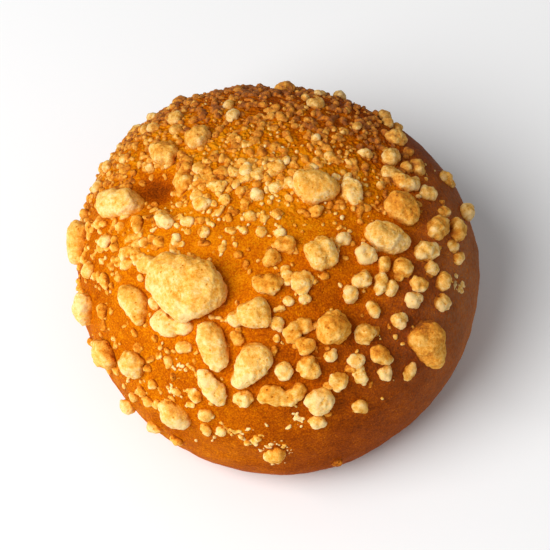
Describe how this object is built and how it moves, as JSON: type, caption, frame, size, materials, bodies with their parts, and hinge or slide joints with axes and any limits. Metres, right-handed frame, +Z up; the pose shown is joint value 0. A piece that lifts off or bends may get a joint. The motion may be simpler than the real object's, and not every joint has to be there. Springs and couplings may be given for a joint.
{
  "type": "streusel bun",
  "caption": "Round domed sweet yeast bun with a golden brown crust, a flat base and irregular butter crumble baked onto its top.",
  "frame": {"origin": "centre of the flat base that the bun rests on", "axes": "+Z up through the crown, +X to the right and +Y away as the picture sees the bun"},
  "size_m": [0.1059, 0.1063, 0.0624],
  "materials": {
    "crust": "baked yeast dough, egg-washed: golden brown, satin, finely pored",
    "streusel": "baked butter crumble: pale yellow, toasted golden on top, matt and granular"
  },
  "bodies": {
    "root": {"bun": "crust", "lump_great": "streusel", "lump_pale": "streusel", "lump_left_shoulder": "streusel", "lump_left_rim_high": "streusel", "lump_left_rim_low": "streusel", "lump_left_front": "streusel", "lump_low_left": "streusel", "lump_lozenge": "streusel", "lump_teardrop": "streusel", "lump_bean": "streusel", "lump_crown": "streusel", "lump_egg": "streusel", "lump_round": "streusel", "lump_right_shoulder": "streusel", "lump_right_high": "streusel", "lump_right_flank": "streusel"}
  },
  "joints": []
}
